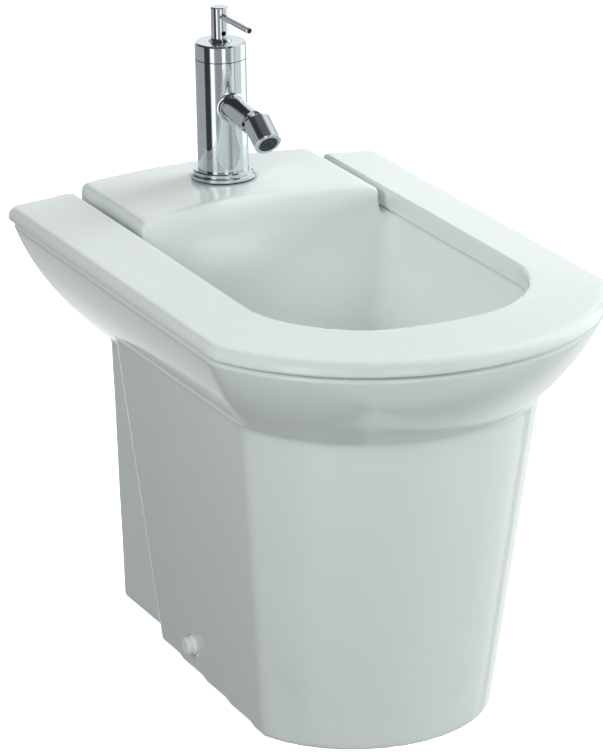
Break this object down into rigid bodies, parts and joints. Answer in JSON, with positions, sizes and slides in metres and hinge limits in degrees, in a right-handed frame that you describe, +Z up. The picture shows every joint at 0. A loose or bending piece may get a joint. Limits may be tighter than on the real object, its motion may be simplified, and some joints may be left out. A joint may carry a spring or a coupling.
{
  "type": "bidet",
  "caption": "Floor-standing ceramic bidet with a U-shaped rim ring, tapered pedestal, single-lever mixer with a swivel nozzle, click plug and bottle trap.",
  "frame": {"origin": "on the floor, under the middle of the overall box in plan", "axes": "+Z up, -Y towards the user and the front of the bowl, +Y towards the wall, X across"},
  "size_m": [0.366, 0.562, 0.5585],
  "materials": {
    "glaze": "gloss white glaze",
    "chrome": "polished chrome plate",
    "brass": "turned",
    "steel": "zinc plated",
    "rubber": "matt black",
    "white_plastic": "white moulded",
    "grey_plastic": "dark grey moulded",
    "disc_ceramic": "lapped alumina"
  },
  "bodies": {
    "bidet": {"ceramic_body": "glaze", "rim_ring": "glaze", "fixing_caps": "white_plastic", "fixing_bushes": "white_plastic", "fixing_screws": "steel", "floor_brackets": "steel", "waste_body": "chrome", "waste_upper_gasket": "rubber", "waste_lower_gasket": "rubber", "waste_back_nut": "brass", "click_cartridge": "brass", "trap_dip_tube": "white_plastic", "trap_waste_nut": "white_plastic", "trap_head": "white_plastic", "trap_inlet_nut": "white_plastic", "trap_inlet_seal": "rubber", "trap_cup": "white_plastic", "trap_cup_gasket": "rubber", "trap_outlet_nut": "white_plastic", "trap_outlet_seal": "rubber", "trap_outlet_pipe": "white_plastic", "tap_gasket": "rubber", "tap_flange": "chrome", "mixer_body": "chrome", "mixer_cap": "chrome", "fixed_disc": "disc_ceramic", "cartridge_seal": "rubber", "cartridge_housing": "grey_plastic", "retaining_nut": "brass", "spout_ball": "chrome", "rubber_horseshoe": "rubber", "steel_horseshoe": "steel", "mounting_stud": "steel", "mounting_nut": "brass"},
    "rotor": {"cartridge_rotor": "grey_plastic", "pivot_pin": "steel"},
    "handle": {"handle_turret": "chrome", "lever_pin": "chrome", "grub_screw": "steel", "cartridge_stem": "brass"},
    "disc": {"disc_carrier": "grey_plastic", "moving_disc": "disc_ceramic"},
    "packing": {"ball_packing": "white_plastic"},
    "nozzle": {"nozzle_shell": "chrome", "aerator_washer": "rubber", "aerator_insert": "grey_plastic", "aerator_ring": "chrome"},
    "plug": {"plug_cap": "chrome", "plug_seal": "rubber", "plug_stem": "brass"}
  },
  "joints": [
    {"name": "temperature_turn", "type": "hinge", "parent": "bidet", "child": "rotor", "pos_m": [0, 0.212, 0.523], "axis": [0, 0, 1], "range_deg": [-45, 45]},
    {"name": "flow_lift", "type": "hinge", "parent": "rotor", "child": "handle", "pos_m": [0, 0.212, 0.523], "axis": [-1, 0, 0], "range_deg": [0, 17]},
    {"name": "disc_slide", "type": "slide", "parent": "rotor", "child": "disc", "axis": [0, -1, 0], "range_m": [0, 0.00507]},
    {"name": "nozzle_pitch", "type": "hinge", "parent": "bidet", "child": "packing", "pos_m": [0, 0.1322, 0.46782], "axis": [-1, 0, 0], "range_deg": [0, 45]},
    {"name": "nozzle_yaw", "type": "hinge", "parent": "packing", "child": "nozzle", "pos_m": [0, 0.1322, 0.46782], "axis": [0, -0.5592, 0.829], "range_deg": [-15, 15]},
    {"name": "plug_slide", "type": "slide", "parent": "bidet", "child": "plug", "axis": [0, 0, -1], "range_m": [0, 0.008]}
  ],
  "couplings": [
    {"joint": "disc_slide", "follows": "flow_lift", "m_per_rad": 0.016752}
  ]
}
